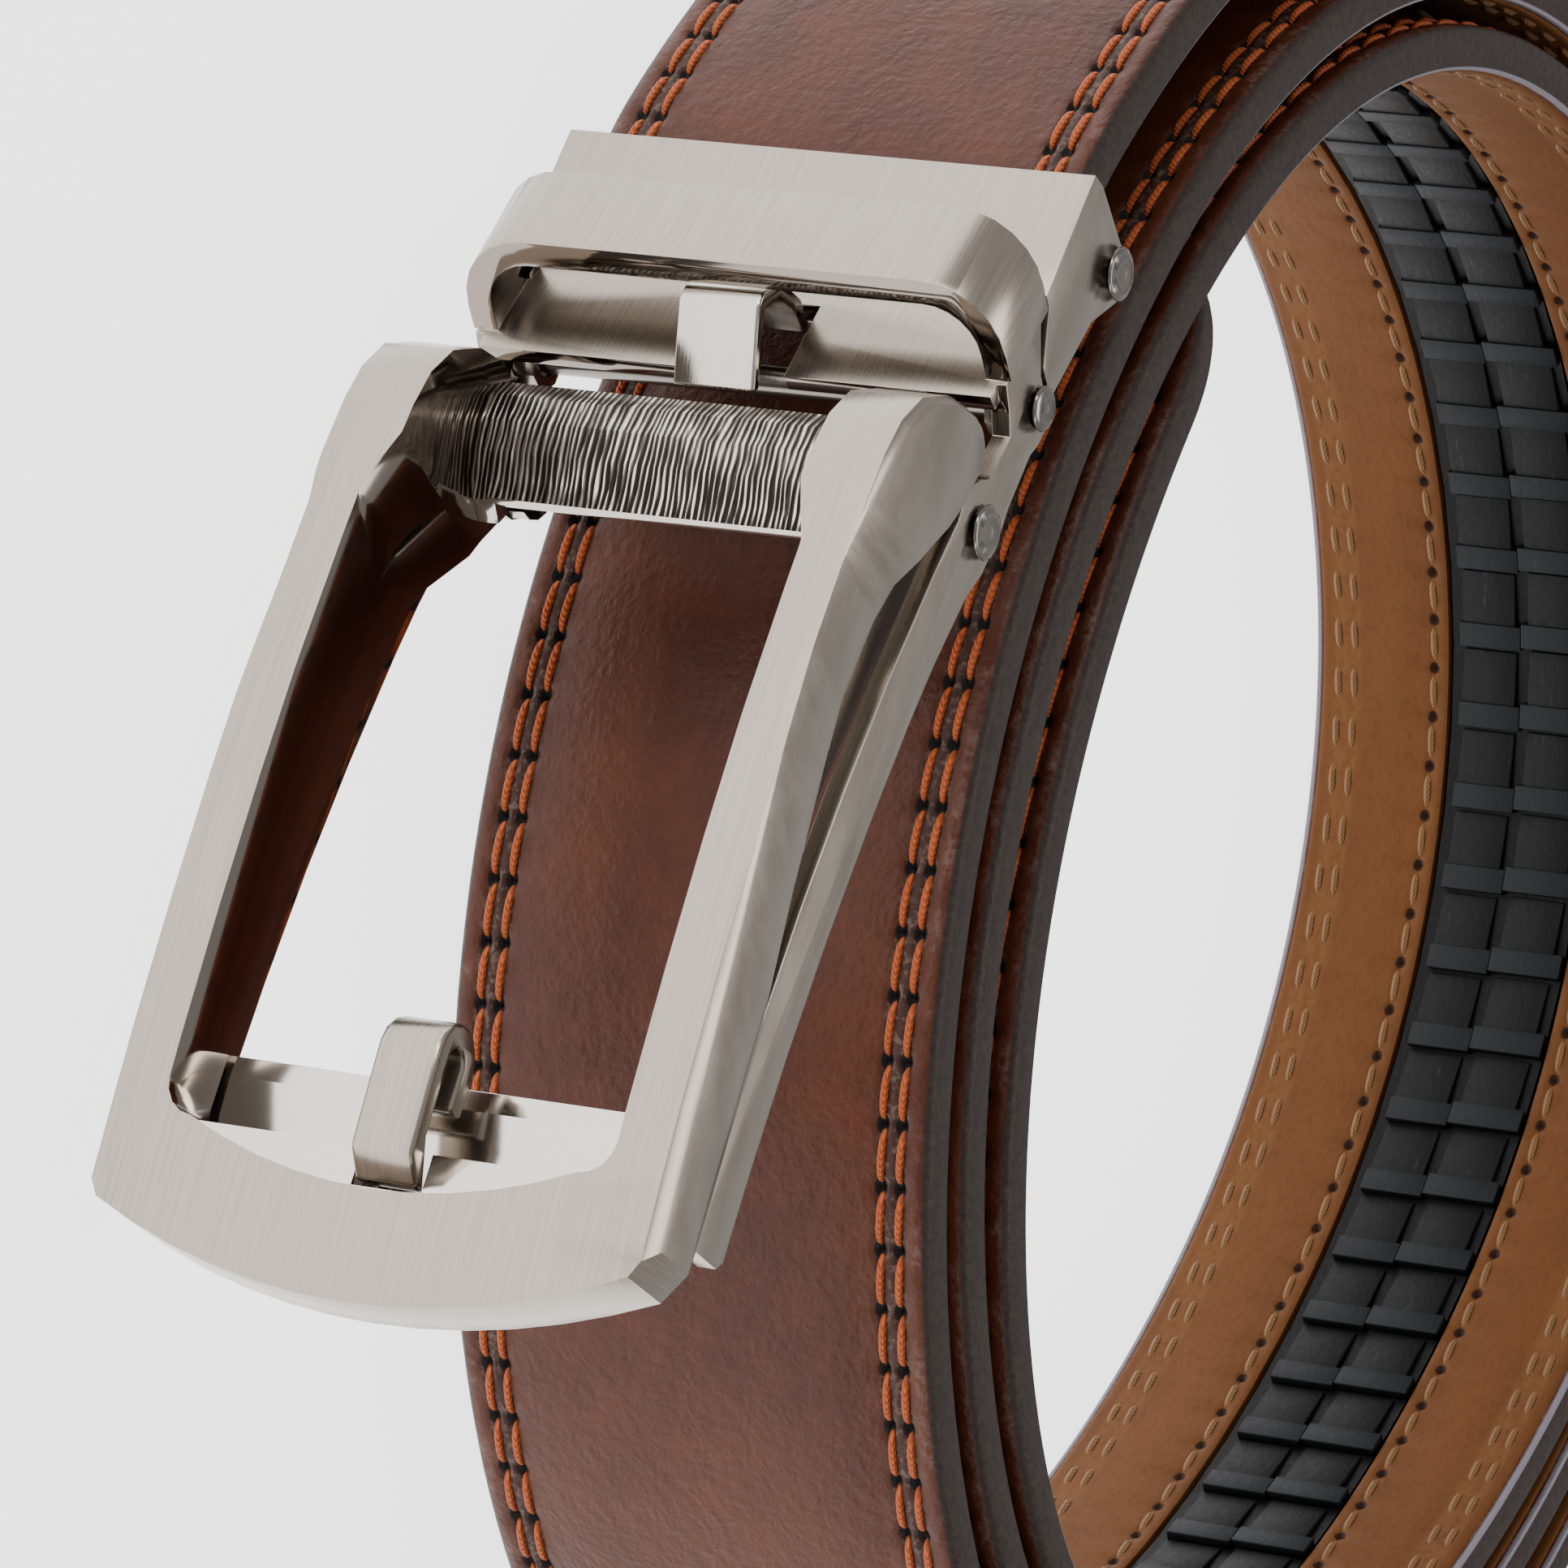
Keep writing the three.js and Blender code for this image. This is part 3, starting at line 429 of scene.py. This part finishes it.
def metal_paint(name, dark, light, rough, smooth):
    """Satin nickel with hairlines, going over to bare polish where a face is marked so; the bare
    polish is a pale painted highlight tone at 0.8 and a dark painted shade tone at 1.
    """
    paint = Paint(name, Metallic=1.0, Roughness=rough, Specular_IOR_Level=0.5)
    polish = paint.polish()
    line = paint.noise(paint.in_metal(HAIRLINE), 4, 0.6)
    cloud = paint.noise(paint.in_metal(METAL_CLOUD), 2)
    satin = paint.mixed(line.above(0.5, 0.25), tint(dark), tint(light))
    # Bare polish at 0.8 (lit ledge and end bar) is a painted highlight tone, at 1 (inner walls) a
    # painted shade tone
    bare = paint.mixed(polish.above(0.9, 0.05), tint("d3cdc6"), tint("857b73"))
    paint.feed("Base Color", paint.mixed(polish, satin, bare))
    brushed = rough - 0.04 + line * 0.08 + cloud * 0.05
    paint.feed("Roughness", brushed * (1 - polish) + polish * smooth)
    paint.bump(line * (1 - polish), 0.000008, 0.5)
    return paint.material


def knurled_paint():
    """Long fine cuts over the bar's round face, pale lines on near-black metal whose darkness
    between them is painted shade; its marked faces stay smooth.
    """
    paint = Paint("knurled_nickel", Metallic=1.0, Roughness=0.3)
    polish = paint.polish()
    place = paint.in_metal((MM, MM, MM))
    along, across = paint.axis(place, ALONG), paint.axis(place, ACROSS)
    warp = paint.grain(place, (0.14, 0.14, 0.45), 2)
    vary = paint.grain(place, (0.3, 0.3, 2.6), 1)
    ridge = (across / 0.42 + along * 0.12 + warp * 2.4).wrapped(1.0) * 2
    cut = ((ridge * 0.7 + vary).above(0.82, 0.26) + polish).at_most(1.0)
    # The near-black between the cut lines is painted shade
    paint.feed("Base Color", paint.mixed(cut, tint("241f1c"), tint("b9b1a8")))
    paint.feed("Roughness", 0.4 - cut * 0.16 - polish * 0.12)
    paint.bump(cut, 0.00016)
    return paint.material


# ---- Route of the strap ----


def smooth(share):
    share = min(1.0, max(0.0, share))
    return share * share * (3 - 2 * share)


def coil_point(turn):
    angle = -math.pi / 2 - 2 * math.pi * turn
    inward = MEAN_TURN - turn
    launch = max(0.0, (LAUNCH_TURN - turn) / (LAUNCH_TURN - FIRST_TURN))
    tip = max(0.0, (turn - LAST_TURN + TIP_TURNS) / TIP_TURNS)
    radius = (
        COIL_RADIUS
        + OVAL_SWING * math.cos(2 * (angle - math.radians(OVAL_ANGLE)))
        + LOBE_SWING * math.cos(3 * (angle - math.radians(LOBE_ANGLE)))
        + FLAT_SWING * math.cos(4 * (angle - math.radians(FLAT_ANGLE)))
        + TURN_PITCH * inward
        + PITCH_GROWTH * inward * inward
        + LAUNCH_LIFT * smooth(launch)
        + MOUTH_LIFT * launch**MOUTH_POWER
        - TIP_SPRING * math.sin(math.pi * min(1.0, tip**SPRING_POWER))
        + TIP_TOUCH * tip**TOUCH_POWER
    )
    return np.array((radius * math.cos(angle), radius * math.sin(angle)))


def belt_points():
    """The strap's middle line: tucked straight into the clamp, bent at its mouth, then coiled."""
    start = coil_point(FIRST_TURN)
    ahead = coil_point(FIRST_TURN + TANGENT_STEP) - start
    start_angle = math.atan2(ahead[1], ahead[0])
    bend = math.radians(MOUTH_TURN)
    mouth_radius = MOUTH_BEND / bend

    def square_to(angle):
        return mouth_radius * np.array((-math.sin(angle), math.cos(angle)))

    def on_mouth(turned):
        return start - square_to(start_angle) + square_to(start_angle + turned)

    clamp_angle = start_angle + bend
    along = np.array((math.cos(clamp_angle), math.sin(clamp_angle)))
    mouth = on_mouth(bend)
    points = [mouth - along * back for back in np.linspace(STRAP_TUCK, 0, TUCK_POINTS)]
    points += [on_mouth(bend * share) for share in MOUTH_SHARES]
    span = LAST_TURN - FIRST_TURN
    steps = round(span * 2 * math.pi * COIL_RADIUS / LINE_STEP)
    points += [coil_point(FIRST_TURN + span * i / steps) for i in range(steps + 1)]
    return np.array(points)


def belt_line(points):
    line = bpy.data.curves.new("belt_line", "CURVE")
    line.dimensions = "2D"
    strand = line.splines.new("POLY")
    strand.points.add(len(points) - 1)
    flat = np.zeros((len(points), 4))
    flat[:, :2] = points
    flat[:, 3] = 1
    strand.points.foreach_set("co", flat.ravel())
    line.use_path = True
    return linked("belt_line", line)


LINE = belt_points()
STRAP_LENGTH = float(np.linalg.norm(np.diff(LINE, axis=0), axis=1).sum())
STITCH_COUNT = round(STRAP_LENGTH / STITCH_PITCH)
STITCH_STEP = STRAP_LENGTH / STITCH_COUNT
guide = belt_line(LINE)


# ---- Strap, lining, stitches and track ----

# Half of the leather's section from its edge to its middle: stitch lands, then the padded crown
LEATHER_EDGE = [
    (17.5, -1.15), (17.5, 0.85), (17.37, 1.3), (17.02, 1.6), (16.5, 1.68),
    (15.92, 1.67), (15.7, 1.61), (15.5, 1.57), (15.3, 1.61), (15.08, 1.67), (14.82, 1.71),
    (14.57, 1.67), (14.35, 1.61), (14.15, 1.57), (13.95, 1.61), (13.73, 1.69),
]
LEATHER_CROWN = (13.3, 12.4, 11.2, 9.4, 6.5, 3.2)
LEATHER_UNDER = [(16.2, -0.35), (16.4, -1.44), (16.9, -1.5), (17.32, -1.42)]
# Half of the lining's section from its edge to the track's groove
LINING_HALF = [
    (16.9, -0.45), (16.9, -1.42), (16.76, -1.58), (16.5, -1.65), (15.9, -1.65), (15.5, -1.6),
    (15.1, -1.65), (14.55, -1.65), (14.15, -1.6), (13.75, -1.65), (11, -1.65), (8.0, -1.65),
    (7.6, -1.62), (7.4, -1.56), (7.2, -1.62), (6.9, -1.65), (6.45, -1.65), (6.22, -1.55),
    (6.22, -0.62),
]
# How one stitch's length is cut, finer at its ends
STITCH_CUTS = (0.5, 0.8, 1.4, 0.8, 0.5)


def drawn_stitch(name, profile):
    """A profile of (across, out) pairs extruded over one stitch's length."""
    nothing_selected()
    bpy.ops.mesh.primitive_circle_add(vertices=len(profile), radius=1, fill_type="NOTHING")
    ring = bpy.context.object
    ring.name = name
    for corner, (across, out) in zip(ring.data.vertices, profile):
        corner.co = (0, out, across)
    picked(ring)
    edit_all()
    share = STITCH_STEP / sum(STITCH_CUTS)
    for cut in STITCH_CUTS:
        bpy.ops.mesh.extrude_region_move(TRANSFORM_OT_translate={"value": (cut * share, 0, 0)})
    object_mode()
    return ring


def repeated(unit, count, step, merge):
    return applied(
        unit, "ARRAY", fit_type="FIXED_COUNT", count=count, use_relative_offset=False,
        use_constant_offset=True, constant_offset_displace=(step, 0, 0),
        use_merge_vertices=merge, use_merge_vertices_cap=False, merge_threshold=0.01)


def ends_closed(piece):
    picked(piece)
    edit_all()
    bpy.ops.mesh.fill_holes(sides=0)
    bpy.ops.mesh.select_all(action="SELECT")
    bpy.ops.mesh.normals_make_consistent(inside=False)
    object_mode()
    return piece


def laid_places(piece):
    """Keeps where each corner is on the straight belt, for the paints."""
    kept = piece.data.attributes.new("laid", "FLOAT_VECTOR", "POINT")
    kept.data.foreach_set("vector", corners(piece).astype(np.float32).ravel())


def rounded_tip(piece):
    places = corners(piece)
    past = np.clip((places[:, ALONG] - STRAP_LENGTH + TIP_LENGTH) / TIP_LENGTH, 0, 1)
    places[:, ACROSS] *= TIP_SHARE + (1 - TIP_SHARE) * np.sqrt(1 - past**2)
    set_corners(piece, places)


def coiled(piece, paint):
    laid_places(piece)
    rounded_tip(piece)
    applied(piece, "CURVE", object=guide, deform_axis="POS_X")
    piece.data.transform(Matrix.Scale(MM, 4) @ COIL_PLACE)
    painted(piece, paint)
    picked(piece)
    bpy.ops.object.shade_smooth_by_angle(angle=CREASE_ANGLE)
    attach(piece, "belt")
    return piece


def sinking(places, rows, hole):
    """How far each corner sinks towards the thread holes at both ends of a stitch."""
    wide, long, deep = hole
    sunk = np.zeros(len(places))
    for row in rows:
        for end in (0, STITCH_STEP):
            beside = (places[:, ACROSS] - row) / wide
            sunk += deep * np.exp(-(((places[:, ALONG] - end) / long) ** 2 + beside**2))
    return sunk


def crown(across):
    side = abs(across)
    if side >= CROWN_HALF:
        return FACE
    return FACE + CROWN_RISE * (1 - (side / CROWN_HALF) ** CROWN_POWER)


def strap_leather():
    half = LEATHER_EDGE + [(across, crown(across)) for across in LEATHER_CROWN]
    profile = half + [(0, crown(0))] + mirrored(half) + mirrored(LEATHER_UNDER) + LEATHER_UNDER
    unit = drawn_stitch("strap_leather", profile)
    places = corners(unit)
    outer = places[:, OUT] > LEATHER_FACE
    places[outer, OUT] -= sinking(places[outer], STITCH_ROWS, LEATHER_HOLE)
    set_corners(unit, places)
    strap = ends_closed(repeated(unit, STITCH_COUNT, STITCH_STEP, True))
    places = corners(strap)
    raised = (np.abs(places[:, ACROSS]) < CROWN_HALF) & (places[:, OUT] > FACE)
    fade = np.array([
        smooth((x - STRAP_TUCK) / CROWN_FADE) * smooth((STRAP_LENGTH - x) / CROWN_FADE)
        for x in places[raised, ALONG]])
    places[raised, OUT] = FACE + (places[raised, OUT] - FACE) * fade
    set_corners(strap, places)
    return coiled(strap, leather_paint())


def strap_lining():
    unit = drawn_stitch("strap_lining", LINING_HALF + mirrored(LINING_HALF))
    places = corners(unit)
    inner = places[:, OUT] < LINING_FACE
    places[inner, OUT] += sinking(places[inner], LINING_ROWS, LINING_HOLE)
    set_corners(unit, places)
    lining = ends_closed(repeated(unit, STITCH_COUNT, STITCH_STEP, True))
    return coiled(lining, lining_paint())


def stitches(name, rows, out, radius, length, sides, dip):
    """Threads that lie from hole to hole in each row, with their ends sunk in."""
    nothing_selected()
    bpy.ops.mesh.primitive_uv_sphere_add(segments=sides, ring_count=sides, radius=1)
    unit = bpy.context.object
    unit.name = name
    edit_all()
    quarter = math.radians(90)
    bpy.ops.transform.rotate(value=quarter, orient_axis="Y", center_override=(0, 0, 0))
    object_mode()
    places = corners(unit)
    girth = np.hypot(places[:, OUT], places[:, ACROSS])
    reach = np.abs(places[:, ALONG])
    places[:, OUT:] *= (radius / np.sqrt(np.maximum(girth, LEAST_GIRTH)))[:, None]
    places[:, ALONG] *= length / 2
    places[:, OUT] -= np.sign(out) * dip * reach**DIP_POWER
    places[:, ACROSS] += places[:, ALONG] * STITCH_SLANT
    places += (STITCH_STEP / 2, out, 0)
    set_corners(unit, places)
    edit_all()
    at = 0
    for row in rows:
        bpy.ops.transform.translate(value=(0, 0, row - at))
        at = row
        if row != rows[-1]:
            bpy.ops.mesh.duplicate()
    object_mode()
    return repeated(unit, STITCH_COUNT, STITCH_STEP, False)


def outer_stitches():
    threads = stitches("strap_stitches", STITCH_ROWS, **OUTER_STITCH)
    # Orange thread: its pale and deep tones are a painted highlight and painted shade
    return coiled(threads, thread_paint("orange_thread", "bd5a27", "6b2a0c", 0.00007))


def lining_stitches():
    rows = (*STITCH_ROWS[:2], *LINING_ROWS, *STITCH_ROWS[2:])
    threads = stitches("lining_stitches", rows, **LINING_STITCH)
    # Tan thread: its pale and deep tones are a painted highlight and painted shade
    return coiled(threads, thread_paint("pale_thread", "7e5a36", "66462a", 0.00003))


# The track's band, then the blocks of one tooth, with broken edges: along, out and across ranges,
# and how far the top's near edge drops
TRACK_BAND = ((0.0, TOOTH_PITCH), (TRACK_FLOOR, TRACK_BACK), (-TRACK_HALF, TRACK_HALF))
TRACK_BLOCKS = (
    (TRACK_BAND, 0),
    (((0.2, 4.6), (BLOCK_TOP, BLOCK_BACK), (-4.9, -0.5)), 0.34),
    (((-0.1, 4.3), (BLOCK_TOP, BLOCK_BACK), (0.55, 5.1)), 0.34),
    (((4.5, 6.5), (TRACK_CREST, BLOCK_BACK), (-5.1, 0.0)), 0.05),
    (((4.2, 6.2), (TRACK_CREST, BLOCK_BACK), (0.0, TRACK_HALF)), 0.05),
)


def toothed_track():
    nothing_selected()
    blocks = []
    for ranges, drop in TRACK_BLOCKS:
        bpy.ops.mesh.primitive_cube_add(size=1)
        cube = bpy.context.object
        low, high = np.array(ranges).T
        places = (corners(cube) + 0.5) * (high - low) + low
        near = (places[:, ALONG] == low[ALONG]) & (places[:, OUT] == low[OUT])
        places[near, OUT] += drop
        set_corners(cube, places)
        if ranges is not TRACK_BAND:
            applied(cube, "BEVEL", width=BLOCK_EDGE, segments=2, limit_method="NONE")
        blocks.append(cube)
        nothing_selected()
    for cube in blocks:
        cube.select_set(True)
    bpy.context.view_layer.objects.active = blocks[0]
    bpy.ops.object.join()
    track = bpy.context.object
    track.name = "toothed_track"
    repeated(track, TOOTH_COUNT, TOOTH_PITCH, False)
    places = corners(track)
    places[:, ALONG] += STRAP_LENGTH - TRACK_TIP_MARGIN - TOOTH_COUNT * TOOTH_PITCH
    set_corners(track, places)
    return coiled(track, track_paint())


# ---- Metalwork ----


def from_solid(node, name, rounding, paint, body):
    """The solid's own shape with its edges broken."""
    piece = linked(name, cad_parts[node].data.copy())
    picked(piece)
    edit_all()
    bpy.ops.mesh.remove_doubles(threshold=WELD * MM)
    bpy.ops.mesh.dissolve_limited(angle_limit=FLAT_ANGLE_LIMIT)
    object_mode()
    applied(piece, "BEVEL", width=rounding * MM, segments=EDGE_SEGMENTS, limit_method="ANGLE",
            angle_limit=EDGE_ANGLE, use_clamp_overlap=True, harden_normals=False)
    painted(piece, paint)
    picked(piece)
    bpy.ops.object.shade_smooth_by_angle(angle=METAL_CREASE)
    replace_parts(piece, node)
    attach(piece, body)
    return piece


def polished_faces(piece, chosen):
    """Marks faces that are bare polish, with the level that picks their painted highlight tone
    (0.8) and painted shade tone (1) in the metal paint; chosen takes their centres and normals in
    buckle axes.
    """
    turn = np.array(Matrix.Rotation(-BUCKLE_TURN, 3, "Z"))
    turned = []
    for name in ("center", "normal"):
        rows = np.empty(len(piece.data.polygons) * 3, np.float32)
        piece.data.polygons.foreach_get(name, rows)
        turned.append(rows.reshape(-1, 3) @ turn.T)
    kept = piece.data.attributes.new("polish", "FLOAT", "FACE")
    kept.data.foreach_set("value", chosen(*turned).astype(np.float32))


def inner_walls(centres, normals):
    middle = (centres.min(axis=0) + centres.max(axis=0)) / 2
    inward = ((centres - middle) * normals)[:, [0, 2]].sum(axis=1) < 0
    # Inner walls get polish 1: the metal paint gives them a dark painted shade tone
    return (inward & (np.abs(normals[:, 1]) < WALL_LEAN)) * 1.0


def lower_lip(centres, normals):
    return (normals[:, 0] > LIP_FACING) * 1.0


def walls_and_end_bar(centres, normals):
    low_end = centres[:, 0] > centres[:, 0].max() - END_BAR_REACH
    # Lit front faces of the far end bar get a painted highlight tone
    lit = low_end & (normals[:, 1] < FACING_FRONT)
    return np.where(lit, HIGHLIGHT_POLISH, inner_walls(centres, normals))


def walls_and_ledge(centres, normals):
    """The ledge under the window leans less than the bar beside it."""
    middle = (centres[:, 2].min() + centres[:, 2].max()) / 2
    low_end = centres[:, 0] > centres[:, 0].max() - LEDGE_REACH
    in_window = np.abs(centres[:, 2] - middle) < LEDGE_HALF
    leaning = (normals[:, 1] < FACING_FRONT) & (normals[:, 0] < LEDGE_LEAN)
    # The ledge gets a painted highlight tone and the walls a painted shade tone
    return np.where(low_end & in_window & leaning, HIGHLIGHT_POLISH, inner_walls(centres, normals))


def dimpled(piece):
    """Sinks the middle of each round end, which leaves a raised rim."""
    picked(piece)
    bpy.context.tool_settings.mesh_select_mode = (False, False, True)
    for way in (1, -1):
        height = max(way * corner.co.z for corner in piece.data.vertices)
        lowest = height - END_DEPTH * MM
        for face in piece.data.polygons:
            face.select = way * face.normal.z > END_FACING and way * face.center.z > lowest
        bpy.ops.object.mode_set(mode="EDIT")
        bpy.ops.mesh.inset(thickness=RIVET_RIM * MM, use_even_offset=False)
        bpy.ops.transform.translate(value=(0, 0, -way * RIVET_DIMPLE * MM))
        object_mode()
    bpy.context.tool_settings.mesh_select_mode = (True, False, False)


def rivet(node, name, paint, body):
    dimpled(from_solid(node, name, RIVET_EDGE, paint, body))


def metalwork():
    brushed = metal_paint("brushed_nickel", "8f867b", "a1988d", 0.24, 0.08)
    polished = metal_paint("polished_nickel", "b7b0a8", "bcb6ae", 0.12, 0.06)
    steel = metal_paint("rivet_steel", "6f6a66", "87817c", 0.2, 0.1)
    from_solid("clamp_cover", "clamp_plate", 0.22, brushed, "belt")
    from_solid("clamp_jaw", "jaw_plate", 0.2, polished, "belt")
    rivet("clamp_pin", "clamp_rivet", steel, "belt")
    rail = from_solid("buckle_body", "rail_body", 0.3, brushed, "buckle")
    from_solid("release_tab", "spring_tab", 0.2, polished, "buckle")
    rivet("body_pin", "body_rivet", steel, "buckle")
    rivet("frame_pin", "frame_rivet", steel, "buckle")
    outline = from_solid("front_frame", "buckle_frame", 0.42, brushed, "frame")
    bar = from_solid("grip_bar", "knurled_bar", 0.2, knurled_paint(), "frame")
    from_solid("prong", "hooked_prong", 0.3, brushed, "frame")
    polished_faces(rail, walls_and_end_bar)
    polished_faces(outline, walls_and_ledge)
    polished_faces(bar, lower_lip)


def belt_pieces():
    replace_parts(strap_leather(), "strap")
    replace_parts(strap_lining(), "lining")
    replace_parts(toothed_track(), "ratchet_track")
    outer_stitches()
    lining_stitches()
    bpy.data.objects.remove(guide)


# ---- Studio ----


def floor():
    nothing_selected()
    bpy.ops.mesh.primitive_plane_add(size=FLOOR_SIZE, location=(0, 0, 0))
    ground = bpy.context.object
    ground.name = "pale_floor"
    paint = Paint("pale_floor", Base_Color=FLOOR_GREY, Roughness=0.9, Specular_IOR_Level=0.1,
                  Emission_Color=WHITE, Emission_Strength=FLOOR_GLOW)
    ground.data.materials.append(paint.material)


def softbox(name, place, aim, size, power):
    lamp = bpy.data.lights.new(name, "AREA")
    lamp.shape = "RECTANGLE"
    lamp.size, lamp.size_y = size
    lamp.energy = power
    holder = linked(name, lamp)
    holder.location = place
    direction = Vector(aim) - Vector(place)
    holder.rotation_euler = direction.to_track_quat("-Z", "Y").to_euler()


def studio():
    floor()
    for name, lamp in SOFTBOXES.items():
        softbox(name, *lamp)
    world = bpy.data.worlds.new("studio_air")
    bpy.context.scene.world = world
    world.use_nodes = True
    air = world.node_tree.nodes["Background"]
    air.inputs["Color"].default_value = WHITE
    air.inputs["Strength"].default_value = AIR_GLOW


def camera():
    lens = bpy.data.cameras.new("product_camera")
    lens.sensor_width = CAMERA_SENSOR
    lens.lens = CAMERA_LENS
    lens.clip_start, lens.clip_end = CAMERA_CLIP
    holder = linked("product_camera", lens)
    holder.location = CAMERA_PLACE
    holder.rotation_euler = Euler(CAMERA_TURN, "XYZ")
    bpy.context.scene.camera = holder


belt_pieces()
metalwork()
studio()
camera()
